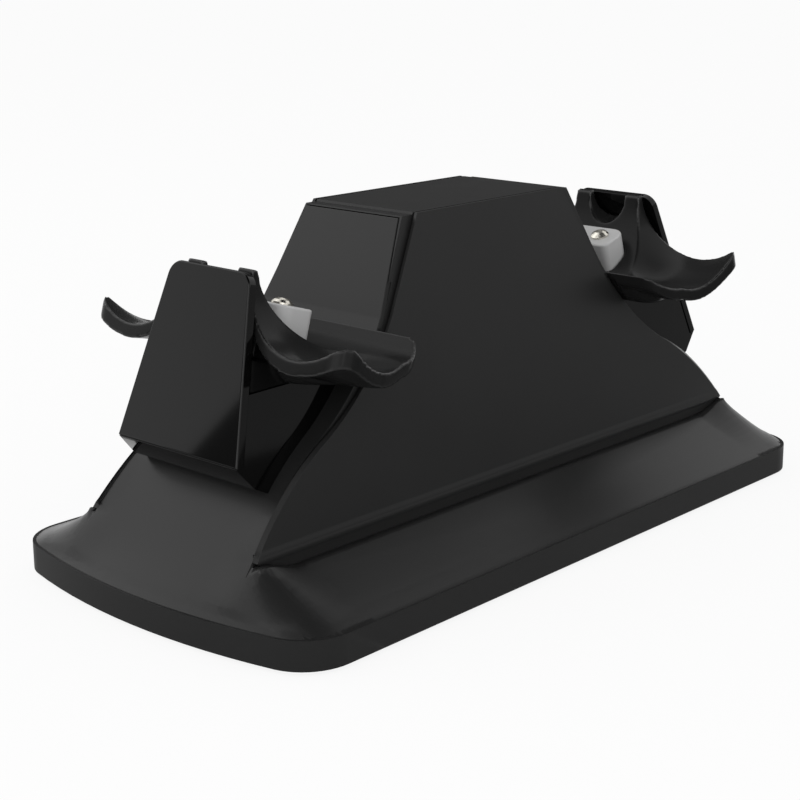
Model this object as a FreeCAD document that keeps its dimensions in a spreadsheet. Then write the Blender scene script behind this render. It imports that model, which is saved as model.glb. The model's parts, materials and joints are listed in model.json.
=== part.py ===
# Controller charging dock: a low weighted base, a central tower between two A-shaped plates,
# and one leaning cradle at each end with a curved seat and a contact block.
# Origin: middle of the footprint on the table. X runs along the dock, Y from front to back, Z up.
import FreeCAD, Part
import math
import os
import Sketcher

os.makedirs("parts", exist_ok=True)
doc = FreeCAD.newDocument("controller_charging_dock")

# Driving sizes, in millimetres and degrees
SIZES = [
    ("foot_drop", 1.0, "rubber feet stand proud of the base by this much"),
    ("base_length", 219.0, "over the middle of the bowed ends"),
    ("base_width", 108.0, "front to back"),
    ("end_bow", 7.7, "how far the ends bow outwards"),
    ("base_corner", 13.4, "corner radius of the base in plan"),
    ("rim_height", 7.3, "upright band round the base"),
    ("rim_step", 0.8, "narrow flat on top of the rim"),
    ("skirt_rise", 7.8, "rim top to the ledge under the plates"),
    ("skirt_dip", 0.55, "hollow of the skirt slope, measured outwards"),
    ("ledge_half_width", 31.9, "ledge that the plates stand above"),
    ("ledge_half_length", 99.6, "end of the ledge"),
    ("ledge_corner", 5.0, "corner radius of the ledge in plan"),
    ("lip_gap", 0.7, "shadow gap between ledge and plate"),
    ("lip_height", 3.0, "turned-in lower edge of the plates"),
    ("lip_tuck", 0.7, "how far that edge turns in"),
    ("lip_round", 0.9, "radius at the lip"),
    ("lip_end", 8.0, "length over which the lip runs out at its ends"),
    ("plate_rise", 70.9, "lip edge to roof"),
    ("roof_half_length", 29.4, "roof, along the dock"),
    ("roof_half_width", 18.5, "roof, front to back, over the plates"),
    ("lip_half_width", 30.0, "plates at the lip, front to back"),
    ("lip_half_length", 96.4, "plates at the lip, along the dock"),
    ("shoulder_half_length", 42.8, "where the straight flank ends"),
    ("shoulder_drop", 23.6, "roof down to that point"),
    ("flare_half_length", 72.0, "where the flank turns from hollow to full"),
    ("flare_drop", 49.7, "roof down to that point"),
    ("flare_radius", 77.5, "hollow part of the flank"),
    ("ankle_radius", 84.6, "full part of the flank"),
    ("plate_edge", 0.9, "visible thickness of a plate"),
    ("plate_seat", 0.6, "hidden thickness behind the seam groove"),
    ("seam_inset", 0.9, "depth of the seam groove"),
    ("cap_proud", 3.8, "flanks beyond the plates at the roof, running out at the lip"),
    ("cap_step", 0.55, "top of that part below the roof"),
    ("wall", 2.4, "wall of the housing"),
    ("flank_wall", 4.0, "flank wall, measured along the dock"),
    ("panel_top_drop", 1.1, "roof to the top of an end panel"),
    ("panel_length", 31.8, "height of an end panel"),
    ("panel_margin", 0.9, "flank edge to the panel's side"),
    ("panel_corner", 7.0, "corner radius of a panel"),
    ("panel_proud", 0.3, "how far a panel stands proud"),
    ("panel_depth", 1.2, "how deep a panel is let in"),
    ("fit_gap", 0.2, "clearance round parts that are let in"),
    ("sweep_spare", 40.0, "construction blocks reach past the dock by this much in all"),
    ("cradle_reach", 94.2, "dock centre to the cover's lower edge"),
    ("cradle_height", 38.8, "base underside to the cover's lower edge"),
    ("cradle_lean", 16.7, "lean of the cradle towards the tower"),
    ("cover_length", 44.6, "cover, along its slope"),
    ("cover_half_foot", 21.6, "cover half width at its foot"),
    ("cover_half_top", 13.9, "cover half width at its top"),
    ("cover_corner", 4.3, "top corner radius of the cover"),
    ("cover_thickness", 2.4, "cover plate"),
    ("cover_round", 0.5, "softened edge of the cover"),
    ("side_inset", 0.3, "cradle side behind the cover's edge"),
    ("chin_depth", 6.5, "slanted chin below the cover, inwards"),
    ("chin_drop", 4.1, "slanted chin below the cover, downwards"),
    ("seat_start", 3.0, "outer face of the seat"),
    ("seat_end", 36.9, "inner rim of the seat"),
    ("seat_underside", 55.4, "level underside of the seat, above the table"),
    ("body_top", 25.0, "top of the cradle body, along its slope"),
    ("board_level", 25.2, "small board under the contact block"),
    ("post_height", 45.5, "top of the two posts"),
    ("post_half_width", 11.6, "outside of the posts"),
    ("notch_half_width", 6.2, "half of the U notch"),
    ("notch_depth", 7.8, "depth of the U notch"),
    ("trough_start", 3.6, "inner face of the posts"),
    ("trough_radius", 22.4, "hollow between posts and floor"),
    ("floor_height", 30.5, "floor of the seat in the middle"),
    ("inner_rim_height", 37.5, "inner rim of the seat"),
    ("ramp_radius", 17.6, "quarter-round ramp beside a post"),
    ("ramp_floor", 27.2, "lowest line of a wing"),
    ("wing_tip_rise", 8.4, "outer corner above the lowest line"),
    ("wing_under_rise", 6.6, "the same corner on the underside of the rim"),
    ("wing_mid_rise", 2.0, "front rim above the lowest line"),
    ("wing_half_width", 45.3, "wing tips, front to back"),
    ("wing_waist", 41.9, "half width of the wings at mid length"),
    ("wing_inner_half_width", 38.6, "half width of the wings at the inner rim"),
    ("wing_tip_corner", 5.0, "plan radius at a wing tip"),
    ("wing_inner_corner", 7.5, "plan radius at the inner end"),
    ("wing_band", 3.7, "edge thickness of a wing"),
    ("belly_inset", 3.6, "belly behind the rim of a wing"),
    ("belly_start", 5.0, "outer end of the belly, from the seat's outer face"),
    ("belly_round", 6.0, "lower edge of the belly"),
    ("belly_corner", 22.0, "plan radius of the belly under a wing tip"),
    ("belly_inner_corner", 8.0, "plan radius of the belly under the inner end"),
    ("block_centre", 19.4, "contact block, from the cover's face"),
    ("block_depth", 11.6, "contact block, inwards"),
    ("block_half_width", 12.0, "contact block, front to back"),
    ("block_outer_corner", 4.5, "corner radius towards the cover"),
    ("block_inner_corner", 2.0, "corner radius towards the tower"),
    ("block_top", 38.7, "top of the contact block"),
    ("block_round", 0.6, "softened top edge of the block"),
    ("contact_spacing", 12.4, "between the two contacts of a block"),
    ("contact_radius", 2.7, "contact dome"),
    ("contact_height", 1.6, "contact dome above the block"),
    ("contact_stem", 1.2, "stem radius of a contact"),
    ("board_thickness", 1.6, "circuit boards"),
    ("seat_board_width", 26.0, "small board under a block, front to back"),
    ("seat_board_depth", 15.0, "small board under a block, inwards"),
    ("well_depth", 17.0, "hollow of a cradle body"),
    ("floor_plate", 2.2, "plate that closes the base"),
    ("foot_radius", 6.0, "rubber foot"),
    ("foot_recess", 0.8, "foot let into the floor plate"),
    ("foot_inset_x", 21.5, "foot centre from the end of the base"),
    ("foot_inset_y", 16.0, "foot centre from the long side of the base"),
    ("screw_inset_x", 37.5, "outer screws from the end of the base"),
    ("screw_inset_y", 14.0, "screws from the long side of the base"),
    ("screw_head", 2.6, "screw head radius"),
    ("screw_head_depth", 1.4, "screw head height"),
    ("screw_shank", 1.2, "screw shank radius"),
    ("screw_length", 6.0, "screw shank below the head"),
    ("boss_radius", 3.2, "screw post inside the housing"),
    ("board_length", 58.0, "main board, along the dock"),
    ("board_width", 26.0, "main board, front to back"),
    ("board_standoff", 1.4, "main board above the floor plate"),
    ("board_inset", 8.0, "back edge of the main board from the back of the base"),
    ("socket_width", 9.0, "power inlet, along the dock"),
    ("socket_height", 3.2, "power inlet"),
    ("socket_depth", 7.4, "power inlet, into the base"),
    ("socket_shell", 0.4, "sheet of the inlet's shell"),
]

sheet = doc.addObject("Spreadsheet::Sheet", "sizes")
for row, (alias, number, meaning) in enumerate(SIZES, start=1):
    sheet.set(f"A{row}", alias)
    sheet.set(f"B{row}", str(number))
    sheet.set(f"C{row}", meaning)
    sheet.setAlias(f"B{row}", alias)
doc.recompute()


# A size keeps its number for first drafts and its words for the bound expression
class Size:
    def __init__(self, number, words):
        self.number = float(number)
        self.words = words

    def __add__(self, other):
        other = as_size(other)
        return Size(self.number + other.number, f"({self.words} + {other.words})")

    def __sub__(self, other):
        other = as_size(other)
        return Size(self.number - other.number, f"({self.words} - {other.words})")

    def __mul__(self, other):
        other = as_size(other)
        return Size(self.number * other.number, f"({self.words} * {other.words})")

    def __truediv__(self, other):
        other = as_size(other)
        return Size(self.number / other.number, f"({self.words} / {other.words})")

    def __neg__(self):
        return Size(-self.number, f"(0 - {self.words})")


def as_size(value):
    if isinstance(value, Size):
        return value
    return Size(value, str(value))


def size(alias):
    return Size(sheet.get(alias), f"sizes.{alias}")


def root(value):
    return Size(math.sqrt(value.number), f"sqrt({value.words})")


def bind(thing, prop, value):
    thing.setExpression(prop, as_size(value).words)


# Sketch planes
TO_FRONT = FreeCAD.Rotation(FreeCAD.Vector(1, 0, 0), 90)
TO_SIDE = FreeCAD.Rotation(FreeCAD.Vector(1, 1, 1), 120)
TO_PLAN = FreeCAD.Rotation()
HERE = FreeCAD.Placement()
LEANING = FreeCAD.Placement(
    FreeCAD.Vector(-sheet.cradle_reach, 0, sheet.foot_drop + sheet.cradle_height),
    FreeCAD.Rotation(0, sheet.cradle_lean, 0),
)


def front_plane(frame=HERE):
    return frame * FreeCAD.Placement(FreeCAD.Vector(), TO_FRONT)


def side_plane(offset=0.0, frame=HERE):
    return frame * FreeCAD.Placement(FreeCAD.Vector(offset, 0, 0), TO_SIDE)


def plan_plane(height=0.0, frame=HERE):
    return frame * FreeCAD.Placement(FreeCAD.Vector(0, 0, height), TO_PLAN)


def bulge(start, end, radius, side):
    """Middle point of the arc from start to end, on its left for side 1 and right for -1."""
    half = (end - start) * 0.5
    reach = math.sqrt(max(radius**2 - half.Length**2, 0.0))
    across = FreeCAD.Vector(-half.y, half.x, 0).normalize() * side
    return start + half + across * (radius - reach)


def profile(name, plane, corners, arcs=None):
    """Closed sketch through the corners. arcs maps an edge's number to (radius, side)."""
    arcs = arcs or {}
    sketch = doc.addObject("Sketcher::SketchObject", name)
    sketch.Placement = plane
    points = [FreeCAD.Vector(as_size(x).number, as_size(y).number, 0) for x, y in corners]
    count = len(points)
    for number, start in enumerate(points):
        end = points[(number + 1) % count]
        if number in arcs:
            radius, side = arcs[number]
            middle = bulge(start, end, as_size(radius).number, side)
            first, last = (end, start) if side > 0 else (start, end)
            sketch.addGeometry(Part.ArcOfCircle(first, middle, last))
        else:
            sketch.addGeometry(Part.LineSegment(start, end))
    # An arc that bulges to the left is drawn from its far end, so ends are matched by place
    ends = {}
    for number in range(count):
        curve = sketch.Geometry[number]
        forward = curve.StartPoint.distanceToPoint(points[number]) < 1e-6
        ends[number] = (1, 2) if forward else (2, 1)
    for number in range(count):
        following = (number + 1) % count
        sketch.addConstraint(
            Sketcher.Constraint("Coincident", number, ends[number][1], following, ends[following][0])
        )
    for number, (x, y) in enumerate(corners):
        for kind, value in (("DistanceX", x), ("DistanceY", y)):
            value = as_size(value)
            index = sketch.addConstraint(
                Sketcher.Constraint(kind, -1, 1, number, ends[number][0], value.number)
            )
            sketch.setExpression(f"Constraints[{index}]", value.words)
    for number, (radius, _side) in arcs.items():
        radius = as_size(radius)
        index = sketch.addConstraint(Sketcher.Constraint("Radius", number, radius.number))
        sketch.setExpression(f"Constraints[{index}]", radius.words)
    return sketch


def extrude(name, sketch, length, both_ways=False):
    solid = doc.addObject("Part::Extrusion", name)
    solid.Base = sketch
    solid.DirMode = "Normal"
    solid.Solid = True
    solid.Symmetric = both_ways
    bind(solid, "LengthFwd", length)
    return solid


def common(name, *shapes):
    result = doc.addObject("Part::MultiCommon", name)
    result.Shapes = list(shapes)
    return result


def fuse(name, *shapes):
    result = doc.addObject("Part::MultiFuse", name)
    result.Shapes = list(shapes)
    result.Refine = True
    return result


def cut(name, base, tool):
    result = doc.addObject("Part::Cut", name)
    result.Base = base
    result.Tool = tool
    result.Refine = True
    return result


def loft(name, sections, ruled=False):
    result = doc.addObject("Part::Loft", name)
    result.Sections = sections
    result.Solid = True
    result.Ruled = ruled
    return result


def cylinder(name, radius, height, x, y, z):
    result = doc.addObject("Part::Cylinder", name)
    bind(result, "Radius", radius)
    bind(result, "Height", height)
    bind(result, "Placement.Base.x", x)
    bind(result, "Placement.Base.y", y)
    bind(result, "Placement.Base.z", z)
    return result


def box(name, length, width, height, x, y, z):
    result = doc.addObject("Part::Box", name)
    bind(result, "Length", length)
    bind(result, "Width", width)
    bind(result, "Height", height)
    bind(result, "Placement.Base.x", x)
    bind(result, "Placement.Base.y", y)
    bind(result, "Placement.Base.z", z)
    return result


def mirrored(name, source, normal):
    result = doc.addObject("Part::Mirroring", name)
    result.Source = source
    result.Normal = normal
    return result


# Heights of the main levels above the table
base_z = size("foot_drop")
rim_z = base_z + size("rim_height")
ledge_z = rim_z + size("skirt_rise")
lip_foot_z = ledge_z + size("lip_gap")
lip_z = lip_foot_z + size("lip_height")
roof_z = lip_z + size("plate_rise")
nodes = []


def keep(thing, label):
    thing.Label = label
    nodes.append(thing)
    return thing


# Plan outline: straight front and back, bowed ends, rounded corners
def plan_outline(name, height, half_length, half_width, bow, corner):
    half_length, half_width = as_size(half_length), as_size(half_width)
    bow, corner = as_size(bow), as_size(corner)
    bow_radius = (half_width * half_width + bow * bow) / (bow * 2)
    bow_centre = half_length - bow_radius
    corner_y = half_width - corner
    reach = bow_radius - corner
    corner_x = bow_centre + root(reach * reach - corner_y * corner_y)
    tangent_x = bow_centre + (corner_x - bow_centre) * bow_radius / reach
    tangent_y = corner_y * bow_radius / reach
    corners = [
        (-corner_x, -half_width), (corner_x, -half_width),
        (tangent_x, -tangent_y), (tangent_x, tangent_y),
        (corner_x, half_width), (-corner_x, half_width),
        (-tangent_x, tangent_y), (-tangent_x, -tangent_y),
    ]
    arcs = {
        1: (corner, -1), 2: (bow_radius, -1), 3: (corner, -1),
        5: (corner, -1), 6: (bow_radius, -1), 7: (corner, -1),
    }
    return profile(name, plan_plane(as_size(height).number), corners, arcs)


# Flank outline, seen from the front: the A shape that plates and tower share
def flank_outline(name, top, foot, inset=0.0, proud=0.0):
    """inset shrinks the outline. proud widens it at the roof and runs out down to the lip."""
    proud = as_size(proud)
    roof_x = size("roof_half_length") + proud
    shoulder_x = size("shoulder_half_length") + proud * (as_size(1) - size("shoulder_drop") / size("plate_rise"))
    flare_x = size("flare_half_length") + proud * (as_size(1) - size("flare_drop") / size("plate_rise"))
    top_x = roof_x + (shoulder_x - roof_x) * (roof_z - top) / size("shoulder_drop")
    corners = [
        (top_x - inset, top),
        (shoulder_x - inset, roof_z - size("shoulder_drop")),
        (flare_x - inset, roof_z - size("flare_drop")),
        (size("lip_half_length") - inset, lip_z),
        (size("ledge_half_length") - inset, foot),
    ]
    corners += [(-x, y) for x, y in reversed(corners)]
    hollow, full = size("flare_radius"), size("ankle_radius")
    arcs = {1: (hollow, -1), 2: (full, 1), 6: (full, 1), 7: (hollow, -1)}
    return profile(name, front_plane(), corners, arcs)


# Slope of the plate faces, front to back for each millimetre of height
face_slope = (size("lip_half_width") - size("roof_half_width")) / size("plate_rise")


def tower_section(name, depth, foot):
    """Section across the dock, set back by depth from the plate faces."""
    top = size("roof_half_width") - depth
    bottom = top + face_slope * (roof_z - foot)
    corners = [(-bottom, foot), (bottom, foot), (top, roof_z), (-top, roof_z)]
    return profile(name, side_plane(), corners)


half_length = size("base_length") / 2
half_width = size("base_width") / 2
foot_x = half_length - size("foot_inset_x")
foot_y = half_width - size("foot_inset_y")
screw_x = half_length - size("screw_inset_x")
screw_y = half_width - size("screw_inset_y")
span = size("base_length") + size("sweep_spare")
plate_depth = size("plate_edge") + size("plate_seat")


# Housing: rim, skirt and tower as one moulded shell, open below
def skirt(name, inset, lower, top_inset):
    """Hollow slope from the rim up to the ledge, as a loft of three outlines."""
    middle_z = rim_z + size("skirt_rise") * 0.45
    rim_length = half_length - size("rim_step") - inset
    rim_width = half_width - size("rim_step") - inset
    ledge_length = size("ledge_half_length") - top_inset
    ledge_width = size("ledge_half_width") - top_inset
    middle_length = rim_length + (ledge_length - rim_length) * 0.45 - size("skirt_dip")
    middle_width = rim_width + (ledge_width - rim_width) * 0.45 - size("skirt_dip")
    corner = size("base_corner") - size("rim_step")
    sections = [
        plan_outline(name + "_rim", rim_z - lower, rim_length, rim_width, size("end_bow"), corner - inset),
        plan_outline(name + "_mid", middle_z - lower, middle_length, middle_width,
                     size("end_bow") * 0.36, (corner + size("ledge_corner")) / 2 - inset),
        plan_outline(name + "_top", ledge_z - lower, ledge_length, ledge_width,
                     size("end_bow") * 0.04, size("ledge_corner") - top_inset),
    ]
    return loft(name, sections)


rim_block = extrude(
    "rim_block",
    plan_outline("rim_outline", base_z, half_length, half_width, size("end_bow"), size("base_corner")),
    size("rim_height"),
)
rim_room = extrude(
    "rim_room",
    plan_outline("rim_room_outline", base_z, half_length - size("wall"), half_width - size("wall"),
                 size("end_bow"), size("base_corner") - size("wall")),
    size("rim_height") - size("wall"),
)
skirt_block = skirt("skirt_block", 0.0, 0.0, 0.0)
skirt_room = skirt("skirt_room", size("wall"), size("wall"), size("wall"))
tower_sides = extrude(
    "tower_sides",
    flank_outline("tower_outline", roof_z - size("cap_step"), ledge_z, proud=size("cap_proud")), span, True,
)
roof_half = size("roof_half_length")
roof_spread = (size("shoulder_half_length") - roof_half) / size("shoulder_drop") * size("wall")
roof_bar = extrude(
    "roof_bar",
    profile("roof_outline", front_plane(), [
        (-roof_half, roof_z), (-(roof_half + roof_spread), roof_z - size("wall")),
        (roof_half + roof_spread, roof_z - size("wall")), (roof_half, roof_z),
    ]),
    span, True,
)
tower_block = common(
    "tower_block",
    fuse("tower_bars", tower_sides, roof_bar),
    extrude("tower_faces", tower_section("tower_section", plate_depth, ledge_z), span, True),
    extrude("tower_foot",
            plan_outline("tower_foot_outline", ledge_z, size("ledge_half_length"), size("ledge_half_width"),
                         size("end_bow") * 0.04, size("ledge_corner")), roof_z),
)
tower_room = common(
    "tower_room",
    extrude("room_flanks",
            flank_outline("room_outline", roof_z - size("wall"), ledge_z - size("wall") * 2,
                          size("flank_wall"), size("cap_proud")), span, True),
    extrude("room_faces", tower_section("room_section", plate_depth + size("wall"),
                                        ledge_z - size("wall") * 2), span, True),
)
housing_form = fuse("housing_form", rim_block, skirt_block, tower_block)
housing_room = fuse("housing_room", rim_room, skirt_room, tower_room)
screw_places = [(-1, -1), (0, -1), (1, -1), (-1, 1), (1, 1)]
floor_top_z = base_z + size("floor_plate")
bosses = fuse("bosses", *[
    cylinder(f"boss_{number}", size("boss_radius"), size("rim_height") + size("skirt_rise"),
             screw_x * x, screw_y * y, floor_top_z)
    for number, (x, y) in enumerate(screw_places)
])
pilots = fuse("pilots", *[
    cylinder(f"pilot_{number}", size("screw_shank"), size("screw_length"),
             screw_x * x, screw_y * y, floor_top_z)
    for number, (x, y) in enumerate(screw_places)
])
boss_posts = common("boss_posts", bosses, housing_form)

# Recess and panel on each flank follow the flank's own outline
def flank_panel(name, depth, proud, gap):
    """Left-hand band along the flank, cut to a rounded outline seen from the end."""
    top = roof_z - size("panel_top_drop") + gap
    foot = roof_z - size("panel_top_drop") - size("panel_length") - gap
    outer = flank_outline(name + "_outer", roof_z, ledge_z, -as_size(proud), size("cap_proud"))
    inner = flank_outline(name + "_inner", roof_z, ledge_z, depth, size("cap_proud"))
    band = cut(name + "_band", extrude(name + "_hull", outer, span, True),
               extrude(name + "_core", inner, span * 2, True))
    edge = size("roof_half_width") - plate_depth - size("panel_margin") + gap
    top_half = edge + face_slope * (roof_z - top)
    foot_half = edge + face_slope * (roof_z - foot)
    round_off = size("panel_corner") + gap
    corners = [
        (foot_half - round_off, foot), (foot_half, foot + round_off), (top_half, top),
        (-top_half, top), (-foot_half, foot + round_off), (-foot_half + round_off, foot),
    ]
    outline = profile(name + "_outline", side_plane(-span.number / 2), corners,
                      {0: (round_off, -1), 4: (round_off, -1)})
    return common(name, band, extrude(name + "_window", outline, span / 2))


panel_seat = flank_panel("panel_seat", size("panel_depth"), size("wall"), size("fit_gap"))
panel_seats = fuse("panel_seats", panel_seat, mirrored("panel_seat_right", panel_seat, (1, 0, 0)))
inlet_z = base_z + size("rim_height") / 2 + size("rim_step") / 2
inlet_opening = box(
    "inlet_opening", size("socket_width") + size("fit_gap") * 2, size("wall") * 4,
    size("socket_height") + size("fit_gap") * 2,
    -size("socket_width") / 2 - size("fit_gap"), half_width - size("wall") * 3,
    inlet_z - size("socket_height") / 2 - size("fit_gap"),
)
housing_shell = cut("housing_shell", housing_form, housing_room)
housing_posts = fuse("housing_posts", housing_shell, boss_posts)
housing_cuts = fuse("housing_cuts", panel_seats, pilots, inlet_opening)
housing_open = cut("housing_open", housing_posts, housing_cuts)

end_panel = keep(flank_panel("end_panel", size("panel_depth"), size("panel_proud"), 0.0), "end_panel_left")
keep(mirrored("end_panel_mirror", end_panel, (1, 0, 0)), "end_panel_right")


# Front plate: leaning face, hidden seat behind the seam groove, turned-in lower lip
def plate_section(name, near, far):
    """Slice of the plate between two depths behind its face, seen from the end."""
    top = size("roof_half_width")
    lip = size("lip_half_width")
    return profile(name, side_plane(), [
        (-(top - near), roof_z), (-(lip - near), lip_z),
        (-(lip - far), lip_z), (-(top - far), roof_z),
    ])


lip_face = size("lip_half_width")
lip_root = face_slope * size("lip_height")
lip_section = profile("lip_section", side_plane(), [
    (-(lip_face - face_slope * size("lip_round")), lip_z + size("lip_round")),
    (-(lip_face - size("lip_tuck") * 0.3), lip_z - size("lip_round")),
    (-(lip_face - size("lip_tuck")), lip_foot_z),
    (-(lip_face + lip_root - plate_depth), lip_foot_z),
    (-(lip_face - face_slope * size("lip_round") - plate_depth), lip_z + size("lip_round")),
], {0: (size("lip_round") * 2.2, -1)})
plate_face = common(
    "plate_face",
    extrude("plate_flanks", flank_outline("plate_outline", roof_z, ledge_z), span, True),
    extrude("plate_sheet", plate_section("plate_section", 0.0, size("plate_edge")), span, True),
)
plate_seat = common(
    "plate_seat",
    extrude("seat_flanks", flank_outline("seat_outline", roof_z - size("seam_inset"), ledge_z,
                                         size("seam_inset")), span, True),
    extrude("seat_sheet", plate_section("seat_section", size("plate_edge"), plate_depth), span, True),
)
lip_long = size("lip_half_length")
lip_end_round = (size("lip_end") * size("lip_end") + size("lip_height") * size("lip_height")) / (
    size("lip_height") * 2)
lip_top_z = lip_z + size("lip_height")
lip_outline = profile("lip_outline", front_plane(), [
    (-(lip_long - size("lip_end")), lip_foot_z), (lip_long - size("lip_end"), lip_foot_z),
    (lip_long, lip_z), (lip_long, lip_top_z), (-lip_long, lip_top_z), (-lip_long, lip_z),
], {1: (lip_end_round, -1), 5: (lip_end_round, -1)})
plate_lip = common(
    "plate_lip",
    extrude("lip_flanks", flank_outline("lip_flank_outline", roof_z, ledge_z), span, True),
    extrude("lip_ends", lip_outline, span, True),
    extrude("lip_bar", lip_section, span, True),
)
front_plate = keep(fuse("plate_front", plate_face, plate_seat, plate_lip), "front_plate")
keep(mirrored("plate_back", front_plate, (0, 1, 0)), "back_plate")

# Floor plate with recesses for the feet and sunk screw heads
floor_blank = extrude(
    "floor_blank",
    plan_outline("floor_outline", base_z, half_length - size("wall") - size("fit_gap"),
                 half_width - size("wall") - size("fit_gap"), size("end_bow"),
                 size("base_corner") - size("wall") - size("fit_gap")),
    size("floor_plate"),
)
foot_places = [("front_left", -1, -1), ("front_right", 1, -1), ("back_left", -1, 1), ("back_right", 1, 1)]
floor_holes = []
for name, x, y in foot_places:
    floor_holes.append(cylinder(f"recess_{name}", size("foot_radius") + size("fit_gap"), size("foot_recess"),
                                foot_x * x, foot_y * y, base_z))
for number, (x, y) in enumerate(screw_places):
    floor_holes.append(cylinder(f"head_room_{number}", size("screw_head") + size("fit_gap"),
                                size("screw_head_depth"), screw_x * x, screw_y * y, base_z))
    floor_holes.append(cylinder(f"shank_room_{number}", size("screw_shank") + size("fit_gap"),
                                size("floor_plate"), screw_x * x, screw_y * y, base_z))
board_back = half_width - size("board_inset")
board_front = board_back - size("board_width")
board_z = floor_top_z + size("board_standoff")
standoff_places = [(x, y) for x in (-1, 1) for y in (-1, 1)]
board_middle = (board_back + board_front) / 2
pin_x = size("board_length") / 2 - size("boss_radius")
pin_y = size("board_width") / 2 - size("boss_radius")
standoffs = fuse("standoffs", *[
    cylinder(f"standoff_{number}", size("boss_radius") - size("screw_shank"), size("board_standoff"),
             pin_x * x, board_middle + pin_y * y, floor_top_z)
    for number, (x, y) in enumerate(standoff_places)
])
pins = fuse("pins", *[
    cylinder(f"pin_{number}", size("screw_shank"), size("board_standoff") + size("board_thickness"),
             pin_x * x, board_middle + pin_y * y, floor_top_z)
    for number, (x, y) in enumerate(standoff_places)
])
floor_drilled = cut("floor_drilled", floor_blank, fuse("floor_holes", *floor_holes))
keep(fuse("floor_moulding", floor_drilled, standoffs, pins), "bottom_plate")

# Rubber feet
for name, x, y in foot_places:
    pad = cylinder(f"pad_{name}", size("foot_radius"), size("foot_drop") + size("foot_recess"),
                   foot_x * x, foot_y * y, 0.0)
    keep(pad, f"foot_{name}")

# Five screws, one solid each, in one node
def screw(number, x, y):
    head = cylinder(f"head_{number}", size("screw_head"), size("screw_head_depth"),
                    screw_x * x, screw_y * y, base_z)
    shank = cylinder(f"shank_{number}", size("screw_shank"),
                     size("floor_plate") - size("screw_head_depth") + size("screw_length"),
                     screw_x * x, screw_y * y, base_z + size("screw_head_depth"))
    slots = [
        box(f"slot_{number}_{turn}", length, width, size("screw_head_depth") * 0.6,
            screw_x * x - length / 2, screw_y * y - width / 2, base_z)
        for turn, (length, width) in enumerate([
            (size("screw_head") * 1.2, size("screw_shank") * 0.5),
            (size("screw_shank") * 0.5, size("screw_head") * 1.2),
        ])
    ]
    return cut(f"screw_{number}", fuse(f"screw_blank_{number}", head, shank), fuse(f"cross_{number}", *slots))


screws = doc.addObject("Part::Compound", "screw_set")
screws.Links = [screw(number, x, y) for number, (x, y) in enumerate(screw_places)]
keep(screws, "bottom_screws")

# Main board on its pins, with the inlet let into its back edge
board_blank = box("board_blank", size("board_length"), size("board_width"), size("board_thickness"),
                  -size("board_length") / 2, board_front, board_z)
inlet_front = half_width - size("wall") * 0.4 - size("socket_depth")
inlet_notch = box("inlet_notch", size("socket_width") + size("fit_gap") * 2, size("socket_depth"),
                  size("board_thickness") * 2, -size("socket_width") / 2 - size("fit_gap"),
                  inlet_front - size("fit_gap"), board_z - size("board_thickness") / 2)
board_holes = fuse("board_holes", inlet_notch, *[
    cylinder(f"board_hole_{number}", size("screw_shank") + size("fit_gap"), size("board_thickness") * 2,
             pin_x * x, board_middle + pin_y * y, board_z - size("board_thickness") / 2)
    for number, (x, y) in enumerate(standoff_places)
])
keep(cut("board_drilled", board_blank, board_holes), "main_board")

# Power inlet: folded shell with a tongue
inlet_outer = box("inlet_outer", size("socket_width"), size("socket_depth"), size("socket_height"),
                  -size("socket_width") / 2, inlet_front, inlet_z - size("socket_height") / 2)
inlet_inner = box("inlet_inner", size("socket_width") - size("socket_shell") * 2,
                  size("socket_depth"), size("socket_height") - size("socket_shell") * 2,
                  -size("socket_width") / 2 + size("socket_shell"), inlet_front + size("socket_shell") * 3,
                  inlet_z - size("socket_height") / 2 + size("socket_shell"))
inlet_tongue = box("inlet_tongue", size("socket_width") * 0.7, size("socket_depth") * 0.7,
                   size("socket_height") * 0.22, -size("socket_width") * 0.35,
                   inlet_front + size("socket_shell"), inlet_z - size("socket_height") * 0.11)
keep(fuse("inlet_moulding", cut("inlet_shell", inlet_outer, inlet_inner), inlet_tongue), "power_socket")


# Cradle, drawn in its own leaning frame: first along the dock, then across it, then up its slope
def cradle_outline(name, offset, inset, foot, top, corner=None):
    """Tapered outline of the cradle, seen square to the cover."""
    taper = (size("cover_half_top") - size("cover_half_foot")) / size("cover_length")
    foot_half = size("cover_half_foot") + taper * foot - inset
    top_half = size("cover_half_foot") + taper * top - inset
    plane = side_plane(as_size(offset).number, LEANING)
    if corner is None:
        corners = [(-foot_half, foot), (foot_half, foot), (top_half, top), (-top_half, top)]
        return profile(name, plane, corners)
    # The corner arc leaves the side at its own tangent length below the top
    lean = math.atan2(-taper.number, 1.0)
    reach = corner * math.tan((math.pi / 2 + lean) / 2 - lean)
    side_x = top_half - taper * reach * math.cos(lean)
    side_z = top - reach * math.cos(lean)
    corners = [
        (-foot_half, foot), (foot_half, foot), (side_x, side_z), (top_half - reach, top),
        (-(top_half - reach), top), (-side_x, side_z),
    ]
    return profile(name, plane, corners, {2: (corner, -1), 4: (corner, -1)})


cover_blank = extrude(
    "cover_blank",
    cradle_outline("cover_outline", 0.0, 0.0, as_size(0.0), size("cover_length"), size("cover_corner")),
    size("cover_thickness"),
)
doc.recompute()


# Edges of a solid's outer face, which is the one at the start of the cradle's frame
def outer_edges(shape, offset):
    numbers = []
    for number, edge in enumerate(shape.Edges, start=1):
        ends = [LEANING.inverse().multVec(vertex.Point) for vertex in edge.Vertexes]
        if all(abs(point.x - offset) < 1e-5 for point in ends):
            numbers.append(number)
    return numbers


cover = doc.addObject("Part::Fillet", "cover_rounded")
cover.Base = cover_blank
softened = sheet.cover_round
cover.Edges = [(number, softened, softened) for number in outer_edges(cover_blank.Shape, 0.0)]
keep(cover, "cradle_cover_left")

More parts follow.
